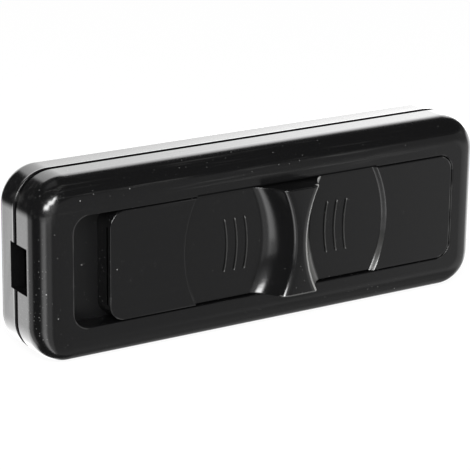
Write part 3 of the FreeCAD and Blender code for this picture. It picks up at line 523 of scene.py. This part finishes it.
def grip_group():
    """Painted highlights and sheen on the slider, with some rubbed wear, from its own curves: the ridges of
    the ribs, rubbed and painted highlight; painted highlights on the crest's right edge, its lower end and
    the tip of the right flank; a painted sheen on the right flank; and a painted highlight on the right
    land's wall."""
    tree, inside, out = group_of("grip_highlights_and_wear", {"Vector": ("NodeSocketVector", None)}, {
        "Ribs": "NodeSocketFloat", "Edge": "NodeSocketFloat", "Flank": "NodeSocketFloat",
        "Wall": "NodeSocketFloat"})
    x, y, z = millimetres(tree, inside.outputs["Vector"])
    x, z = math_node(tree, "SUBTRACT", x, REST), math_node(tree, "SUBTRACT", z, MIDDLE)
    tall = math_node(tree, "ABSOLUTE", z)
    root = math_node(tree, "SQRT", math_node(tree, "SUBTRACT", GRIP_ARC ** 2, product(tree, z, z)))
    arc = math_node(tree, "SUBTRACT", GRIP_ARC, root)
    aside = math_node(tree, "SUBTRACT", math_node(tree, "ABSOLUTE", x), arc)
    right = math_node(tree, "SUBTRACT", x, arc)

    # The rib ridges: pale lines of rubbed wear and painted highlight.
    count = math_node(tree, "DIVIDE", math_node(tree, "SUBTRACT", aside, RIB_START), RIB_PITCH)
    off = apart_from(tree, count, math_node(tree, "ROUND", count))
    ends = math_node(tree, "MULTIPLY_ADD", smooth_step(tree, tall, 4.3, 4.6), 2.2)
    ends.node.inputs[2].default_value = 1.0
    ridge = product(tree, smooth_step(tree, off, 0.075, 0.03), smooth_step(tree, tall, 5.0, 4.75), ends,
                    math_node(tree, "LESS_THAN", count, 2.5), math_node(tree, "GREATER_THAN", count, -0.5),
                    math_node(tree, "LESS_THAN", y, FIELD - 0.08))
    tree.links.new(ridge, out.inputs["Ribs"])

    # Painted highlights: a whitish line on the crest's right edge, a faint one along its lower end, and the
    # right flank's tip near the top end.
    edge = product(tree, smooth_step(tree, right, 0.65, 0.95), smooth_step(tree, right, 1.7, 1.3))
    foot = product(tree, smooth_step(tree, z, -9.35, -9.45), smooth_step(tree, z, -9.65, -9.55),
                   smooth_step(tree, aside, 1.9, 1.4), 0.2)
    edge = product(tree, math_node(tree, "MAXIMUM", edge, foot),
                   math_node(tree, "LESS_THAN", y, CREST + 1.2))
    tip_highlight = product(tree, smooth_step(tree, z, 7.6, 8.6), math_node(tree, "LESS_THAN", z, 9.72),
                  smooth_step(tree, right, 1.6, 2.0), smooth_step(tree, right, 5.6, 5.0),
                  smooth_step(tree, y, FIELD - 0.05, FIELD - 0.25))
    tree.links.new(math_node(tree, "MAXIMUM", edge, tip_highlight), out.inputs["Edge"])

    # Painted sheen: a pale haze on the right flank's lower, visible part.
    flank = product(tree, smooth_step(tree, right, 1.5, 2.0), smooth_step(tree, y, FIELD, FIELD - 0.3),
                    smooth_step(tree, z, 1.0, -6.0), smooth_step(tree, right, 6.0, 5.0))
    tree.links.new(flank, out.inputs["Flank"])

    # Painted highlight on the right land's wall towards the field, brighter towards the bottom.
    flat = node(tree, "ShaderNodeCombineXYZ", {"X": x, "Y": z})
    radial = node(tree, "ShaderNodeVectorMath", {0: flat.outputs[0]}, operation="LENGTH").outputs["Value"]
    low = math_node(tree, "MULTIPLY_ADD", smooth_step(tree, z, 1.0, -9.0), 0.9)
    low.node.inputs[2].default_value = 0.1
    wall = product(tree, smooth_step(tree, apart_from(tree, radial, FIELD_RADIUS), 0.42, 0.34),
                   smooth_step(tree, x, 17.0, 18.0), smooth_step(tree, tall, 9.75, 9.6),
                   smooth_step(tree, apart_from(tree, y, (FACE + FIELD) / 2), 0.39, 0.33), low)
    tree.links.new(wall, out.inputs["Wall"])
    return tree


# The pale grey of dust and wear, which also paints the grip's highlights.
BLACK, DUST_AND_HIGHLIGHT = (0.0045, 0.0045, 0.0047, 1), (0.40, 0.40, 0.39, 1)
GROUPS = {"dust": dust_group(), "rubbing_and_streaks": streak_group(), "rim": rim_group(), "grip_highlights_and_wear": grip_group()}


def placed(tree, name, vector, values):
    """One of the shared groups in a material, with its own values."""
    made = tree.nodes.new("ShaderNodeGroup")
    made.node_tree = GROUPS[name]
    tree.links.new(vector, made.inputs["Vector"])
    for label, value in values.items():
        made.inputs[label].default_value = value
    return made


def gloss_black(name, share, roughness, wear_and_highlight_masks, opening=None):
    """Polished black moulding: nearly black, a tight gloss, dust specks that gather at the ends, fine
    rubbing marks drawn along the body, which also paint faint light streaks on the upper round as painted
    reflection streaks, and whitish wear and painted highlights where the list of masks puts them, each with
    its strength. No dust shows in the cord entries. In an opening, given by its outline, the floor is satin
    and the seam above the finger field is dulled to a dark line of painted shade."""
    material, tree, shader = tree_of(name)
    place = node(tree, "ShaderNodeTexCoord").outputs["Object"]
    x, y, z = millimetres(tree, place)
    ends = smooth_step(tree, math_node(tree, "ABSOLUTE", x), 42.5, 45.0)
    specks = placed(tree, "dust", place, {"Scale": 1150.0, "Size": 0.2})
    density = product(tree, math_node(tree, "ADD", ends, 0.7), share * 0.8)
    tree.links.new(density, specks.inputs["Share"])
    grit = placed(tree, "dust", place, {"Scale": 2300.0, "Size": 0.28})
    density = product(tree, math_node(tree, "ADD", product(tree, ends, 1.6), 1.0), share * 2.2)
    tree.links.new(density, grit.inputs["Share"])
    dust = math_node(tree, "MAXIMUM", specks.outputs["Specks"],
                     product(tree, grit.outputs["Specks"], 0.4))
    rubbing_and_streaks = placed(tree, "rubbing_and_streaks", place, {"Fineness": 1500.0})
    # Faint light lines on the upper round: rubbing marks and painted reflection streaks.
    scuffs_and_streaks = product(tree, rubbing_and_streaks.outputs["Marks"], smooth_step(tree, z, 24.0, 30.0), 0.05)
    haze = product(tree, specks.outputs["Haze"], ends, 0.15, smooth_step(tree, z, 23.0, 28.0))
    dust_wear_and_highlights = math_node(tree, "MAXIMUM", math_node(tree, "MAXIMUM", product(tree, dust, 0.5), scuffs_and_streaks), haze)
    middle, reach = (ENTRY_FRONT + ENTRY_BACK) / 2, (ENTRY_BACK - ENTRY_FRONT) / 2
    above = math_node(tree, "GREATER_THAN", apart_from(tree, z, MIDDLE), ENTRY_HALF + 0.05)
    beside = math_node(tree, "GREATER_THAN", apart_from(tree, y, middle), reach + 0.05)
    dust_wear_and_highlights = product(tree, dust_wear_and_highlights, math_node(tree, "MAXIMUM", above, beside))
    # Whitish rubbed wear along the rims, and painted highlights and sheen on the grip.
    for group, output, strength, values in wear_and_highlight_masks:
        mask = placed(tree, group, place, values).outputs[output]
        dust_wear_and_highlights = math_node(tree, "MAXIMUM", dust_wear_and_highlights, product(tree, mask, strength))
    # Dust, wear, painted streaks and painted highlights all move the base colour towards the pale grey.
    colour = node(tree, "ShaderNodeMix", {"Factor": dust_wear_and_highlights, 6: BLACK, 7: DUST_AND_HIGHLIGHT}, data_type="RGBA")
    tree.links.new(colour.outputs[2], shader.inputs["Base Color"])
    rough = node(tree, "ShaderNodeMapRange", {"Value": rubbing_and_streaks.outputs["Marks"], "To Min": roughness,
                                              "To Max": roughness + 0.06})
    rough = math_node(tree, "MAXIMUM", rough.outputs["Result"], product(tree, dust_wear_and_highlights, 0.8))
    if opening:
        outline = placed(tree, "rim", place, opening)
        low = smooth_step(tree, apart_from(tree, y, POCKET_FLOOR), 0.5, 0.3)
        satin = product(tree, outline.outputs["Inside"], low, 0.42)
        rough = math_node(tree, "MAXIMUM", rough, satin)
        # Painted shade: the sheen is taken off along the seam above the finger field, for a dark line there.
        sheen = product(tree, math_node(tree, "SUBTRACT", 1.0, outline.outputs["Seam"]), 0.5)
        tree.links.new(sheen, shader.inputs["Specular IOR Level"])
    tree.links.new(rough, shader.inputs["Roughness"])
    wave = node(tree, "ShaderNodeBump", {"Height": rubbing_and_streaks.outputs["Height"], "Strength": 0.5,
                                         "Distance": 0.00001})
    fine = node(tree, "ShaderNodeBump", {"Height": dust_wear_and_highlights, "Strength": 0.3, "Distance": 0.00004,
                                         "Normal": wave.outputs["Normal"]})
    tree.links.new(fine.outputs["Normal"], shader.inputs["Normal"])
    shader.inputs["IOR"].default_value = 1.5
    return material


def moulded(name, colour, roughness):
    """Plain moulded plastic with a fine grain."""
    material, tree, shader = tree_of(name)
    place = node(tree, "ShaderNodeTexCoord").outputs["Object"]
    grain = node(tree, "ShaderNodeTexNoise", {"Vector": place, "Scale": 3000.0, "Detail": 3.0})
    shade = node(tree, "ShaderNodeMix", {"Factor": grain.outputs["Fac"], 6: (*[0.9 * c for c in colour], 1),
                                         7: (*colour, 1)}, data_type="RGBA")
    tree.links.new(shade.outputs[2], shader.inputs["Base Color"])
    rough = node(tree, "ShaderNodeMapRange", {"Value": grain.outputs["Fac"], "To Min": roughness,
                                              "To Max": roughness + 0.12})
    tree.links.new(rough.outputs["Result"], shader.inputs["Roughness"])
    bump = node(tree, "ShaderNodeBump", {"Height": grain.outputs["Fac"], "Strength": 0.3,
                                         "Distance": 0.00002})
    tree.links.new(bump.outputs["Normal"], shader.inputs["Normal"])
    return material


def metal(name, colour, roughness, direction):
    """Metal with drawn lines along one direction and slight staining."""
    material, tree, shader = tree_of(name)
    place = node(tree, "ShaderNodeTexCoord").outputs["Object"]
    drawn = node(tree, "ShaderNodeVectorMath", {0: place, 1: direction}, operation="MULTIPLY")
    lines = node(tree, "ShaderNodeTexNoise", {"Vector": drawn.outputs[0], "Scale": 4000.0, "Detail": 3.0})
    stain = node(tree, "ShaderNodeTexNoise", {"Vector": place, "Scale": 400.0, "Detail": 4.0})
    stained = smooth_step(tree, stain.outputs["Fac"], 0.5, 0.75)
    shade = node(tree, "ShaderNodeMix", {"Factor": stained, 6: (*colour, 1),
                                         7: (*[0.62 * c for c in colour], 1)}, data_type="RGBA")
    tree.links.new(shade.outputs[2], shader.inputs["Base Color"])
    rough = node(tree, "ShaderNodeMapRange", {"Value": lines.outputs["Fac"], "To Min": roughness,
                                              "To Max": roughness + 0.15})
    tree.links.new(rough.outputs["Result"], shader.inputs["Roughness"])
    bump = node(tree, "ShaderNodeBump", {"Height": lines.outputs["Fac"], "Strength": 0.2,
                                         "Distance": 0.00001})
    tree.links.new(bump.outputs["Normal"], shader.inputs["Normal"])
    shader.inputs["Metallic"].default_value = 1.0
    return material


OPENING = {"Half Length": 39.65, "Half Width": 10.0, "Radius": 3.1}
SHELL = gloss_black("shell_black", 0.07, 0.15, [
    ("rim", "Marks", 0.07, {**OPENING, "Gaps": 0.4, "Beyond": 36.5}),
], OPENING)
SLIDER = gloss_black("slider_black", 0.06, 0.14, [
    ("rim", "Marks", 0.20, {"Middle": REST, "Half Length": 35.9, "Half Width": 9.65, "Radius": 2.8,
                            "Gaps": 0.46, "Beyond": 33.2}),
    # Painted highlights and sheen on the grip, and rib ridges that are rubbed and painted highlight.
    ("grip_highlights_and_wear", "Ribs", 0.10, {}), ("grip_highlights_and_wear", "Edge", 0.95, {}), ("grip_highlights_and_wear", "Flank", 0.40, {}),
    ("grip_highlights_and_wear", "Wall", 0.13, {}),
])
STEEL = metal("zinc_steel", (0.62, 0.62, 0.6), 0.25, (1.0, 1.0, 1.0))
BRASS = metal("brass", (0.78, 0.57, 0.24), 0.28, (0.05, 1.0, 1.0))
COPPER = metal("contact_copper", (0.85, 0.45, 0.28), 0.25, (0.05, 1.0, 1.0))
SPRING = metal("spring_steel", (0.45, 0.45, 0.46), 0.2, (0.05, 1.0, 1.0))
INNER = moulded("inner_moulding", (0.72, 0.70, 0.64), 0.45)
CLAMP = moulded("clamp_moulding", (0.10, 0.10, 0.11), 0.5)

FINISHES = {"terminal_block": BRASS, "contact_strip": COPPER, "contact_bridge": COPPER,
            "contact_spring": SPRING, "detent_spring": SPRING, "slide_carrier": INNER, "cord_clamp": CLAMP,
            "front_cover": SHELL, "rear_cover": SHELL, "slider": SLIDER}
for name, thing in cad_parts.items():
    finish = next((FINISHES[start] for start in FINISHES if name.startswith(start)), STEEL)
    thing.data.materials.clear()
    thing.data.materials.append(finish)

piece("front_moulding", front_moulding(), "housing", SHELL, ["front_cover"])
piece("rear_moulding", rear_moulding(), "housing", SHELL, ["rear_cover"])
piece("finger_plate", finger_plate(), "slider", SLIDER, ["slider"])
for name, side in (("left", -1), ("right", 1)):
    piece(f"crossed_screw_{name}", cover_screw(side), "housing", STEEL,
          [f"cover_screw_{name}"])


# ---- studio ----

def panel_group():
    """A soft-edged white panel on the studio's walls, by the direction it is seen in: its azimuth is
    counted from the front towards the left, its height between two elevations, all in degrees."""
    tree, inside, out = group_of("panel", {
        "Vector": ("NodeSocketVector", None), "Azimuth": ("NodeSocketFloat", 0.0),
        "Half Width": ("NodeSocketFloat", 30.0), "Low": ("NodeSocketFloat", 0.0),
        "High": ("NodeSocketFloat", 30.0), "Side Edge": ("NodeSocketFloat", 8.0),
        "Level Edge": ("NodeSocketFloat", 3.0), "Strength": ("NodeSocketFloat", 1.0),
    }, {"Light": "NodeSocketFloat"})
    values = inside.outputs
    turn = node(tree, "ShaderNodeVectorRotate", {
        "Vector": values["Vector"], "Angle": math_node(tree, "RADIANS", values["Azimuth"]),
    }, rotation_type="Z_AXIS")
    way = node(tree, "ShaderNodeSeparateXYZ", {"Vector": turn.outputs["Vector"]})
    side = math_node(tree, "ARCTAN2", way.outputs["X"], product(tree, way.outputs["Y"], -1.0))
    side = math_node(tree, "ABSOLUTE", math_node(tree, "DEGREES", side))
    level = math_node(tree, "DEGREES", math_node(tree, "ARCSINE", way.outputs["Z"]))

    def eased(value, middle, edge, rising):
        low = math_node(tree, "SUBTRACT", middle, edge)
        high = math_node(tree, "ADD", middle, edge)
        return smooth_step(tree, value, *((low, high) if rising else (high, low)))

    mask = product(tree, eased(side, values["Half Width"], values["Side Edge"], False),
                   eased(level, values["Low"], values["Level Edge"], True),
                   eased(level, values["High"], values["Level Edge"], False), values["Strength"])
    tree.links.new(mask, out.inputs["Light"])
    return tree


PANELS = {
    "back_wall": {"Azimuth": 207, "Half Width": 29, "Low": -8, "High": 37, "Side Edge": 4, "Level Edge": 4,
                  "Strength": 2.0},
    "back_wall_right": {"Azimuth": 222, "Half Width": 9, "Low": -8, "High": 30, "Side Edge": 10,
                        "Level Edge": 4, "Strength": 1.6},
    "left_floor": {"Azimuth": 160, "Half Width": 19, "Low": -26, "High": -13, "Side Edge": 4,
                   "Level Edge": 5, "Strength": 2.9},
    "low_floor": {"Azimuth": 173, "Half Width": 33, "Low": -50, "High": -26, "Side Edge": 4,
                  "Level Edge": 5, "Strength": 3.2},
    "left_shoulder": {"Azimuth": 128, "Half Width": 13, "Low": -50, "High": -13, "Side Edge": 6,
                      "Level Edge": 7, "Strength": 1.0},
    "window": {"Azimuth": 37, "Half Width": 12, "Low": 25, "High": 36, "Side Edge": 4, "Level Edge": 3,
               "Strength": 23.0},
    "window_high": {"Azimuth": 26, "Half Width": 6, "Low": 36, "High": 44, "Side Edge": 4, "Level Edge": 3,
                    "Strength": 23.0},
    "window_low": {"Azimuth": 51, "Half Width": 10, "Low": 13, "High": 25, "Side Edge": 4, "Level Edge": 3,
                   "Strength": 23.0},
    "window_glow": {"Azimuth": 38, "Half Width": 22, "Low": 2, "High": 45, "Side Edge": 12,
                    "Level Edge": 9, "Strength": 0.9},
    "card_core": {"Azimuth": 59, "Half Width": 8, "Low": -90, "High": -17.3, "Side Edge": 5,
                  "Level Edge": 1.6, "Strength": 1.6},
    "card": {"Azimuth": 60, "Half Width": 11, "Low": -90, "High": -7, "Side Edge": 6, "Level Edge": 1.5,
             "Strength": 1.2},
    "card_shoulder": {"Azimuth": 42, "Half Width": 16, "Low": -90, "High": -7, "Side Edge": 5,
                      "Level Edge": 1.5, "Strength": 0.7},
    "front_floor": {"Azimuth": -30, "Half Width": 60, "Low": -90, "High": 20, "Side Edge": 25,
                    "Level Edge": 1.2, "Strength": 0.25},
    "low_front": {"Azimuth": -130, "Half Width": 35, "Low": -60, "High": -26, "Side Edge": 12,
                  "Level Edge": 8, "Strength": 0.22},
    "right_floor": {"Azimuth": -95, "Half Width": 56, "Low": -35, "High": -3, "Side Edge": 8,
                    "Level Edge": 6, "Strength": 0.5},
    "right_card": {"Azimuth": -122, "Half Width": 30, "Low": -24, "High": 4, "Side Edge": 6,
                   "Level Edge": 4, "Strength": 1.8},
    "rear_sky": {"Azimuth": 155, "Half Width": 40, "Low": 60, "High": 95, "Side Edge": 10,
                 "Level Edge": 8, "Strength": 0.35},
}


def studio():
    """White to the camera. What shines sees the studio's walls: dim, with white panels. What is dull is
    lit evenly from all round."""
    world = bpy.data.worlds.new("studio")
    bpy.context.scene.world = world
    world.use_nodes = True
    tree = world.node_tree
    way = node(tree, "ShaderNodeTexCoord").outputs["Generated"]
    GROUPS["panel"] = panel_group()
    light = 0.06    # the dim walls
    for values in PANELS.values():
        light = math_node(tree, "ADD", placed(tree, "panel", way, values).outputs["Light"], light)
    path = node(tree, "ShaderNodeLightPath")
    shine = node(tree, "ShaderNodeMix", {"Factor": path.outputs["Is Glossy Ray"], "A": 0.3, "B": light})
    seen = math_node(tree, "MAXIMUM", path.outputs["Is Camera Ray"], path.outputs["Is Transmission Ray"])
    strength = node(tree, "ShaderNodeMix", {"Factor": seen, "A": shine.outputs["Result"], "B": 1.0})
    background = tree.nodes["Background"]
    background.inputs["Color"].default_value = (1, 1, 1, 1)
    tree.links.new(strength.outputs["Result"], background.inputs["Strength"])


def floor():
    """A wide pale floor, white to the camera apart from the object's shadow."""
    mesh = bpy.data.meshes.new("floor")
    mesh.from_pydata([(-8, -8, 0), (8, -8, 0), (8, 8, 0), (-8, 8, 0)], [], [(0, 1, 2, 3)])
    ground = bpy.data.objects.new("floor", mesh)
    bpy.context.scene.collection.objects.link(ground)
    material = bpy.data.materials.new("pale_floor")
    material.use_nodes = True
    tree = material.node_tree
    tree.nodes.clear()
    path = node(tree, "ShaderNodeLightPath")
    seen = math_node(tree, "MAXIMUM", path.outputs["Is Camera Ray"], path.outputs["Is Transmission Ray"])
    dull = node(tree, "ShaderNodeBsdfDiffuse", {"Color": (0.8, 0.8, 0.8, 1)})
    white = node(tree, "ShaderNodeEmission", {"Color": (1, 1, 1, 1), "Strength": 1.12})
    both = node(tree, "ShaderNodeMixShader", {0: product(tree, seen, 0.82), 1: dull.outputs[0],
                                              2: white.outputs[0]})
    node(tree, "ShaderNodeOutputMaterial", {"Surface": both.outputs[0]})
    mesh.materials.append(material)
    ground.visible_glossy = False


def lamp(name, towards, distance, size, radiance):
    """A soft box that faces the switch, by the direction it stands in. What shines sees the studio's
    window in its place."""
    data = bpy.data.lights.new(name, "AREA")
    data.shape, data.size, data.size_y = "RECTANGLE", size[0], size[1]
    data.energy = radiance * math.pi * size[0] * size[1]
    thing = bpy.data.objects.new(name, data)
    bpy.context.scene.collection.objects.link(thing)
    way = Vector(towards).normalized()
    thing.location = Vector((0, 0, MIDDLE * MM)) + way * distance
    thing.rotation_mode = "QUATERNION"
    thing.rotation_quaternion = way.to_track_quat("Z", "Y")
    thing.visible_glossy = False
    return thing


def camera():
    """The photograph's view."""
    data = bpy.data.cameras.new("camera")
    data.sensor_width, data.lens = 36.0, 175.9
    data.clip_start, data.clip_end = 0.01, 50.0
    thing = bpy.data.objects.new("camera", data)
    bpy.context.scene.collection.objects.link(thing)
    right, up, ahead = (0.84154, -0.54004, 0.01209), (0.15316, 0.26010, 0.95335), (0.51801, 0.80044, -0.30160)
    turn = Matrix((right, up, [-c for c in ahead])).transposed()
    thing.matrix_world = Matrix.Translation(Vector((-214.105, -324.366, 138.320)) * MM) @ turn.to_4x4()
    bpy.context.scene.camera = thing


studio()
floor()
lamp("key", (-0.480, -0.769, 0.423), 0.7, (0.34, 0.50), 12.0)
camera()
bpy.context.scene.view_settings.view_transform = "Standard"
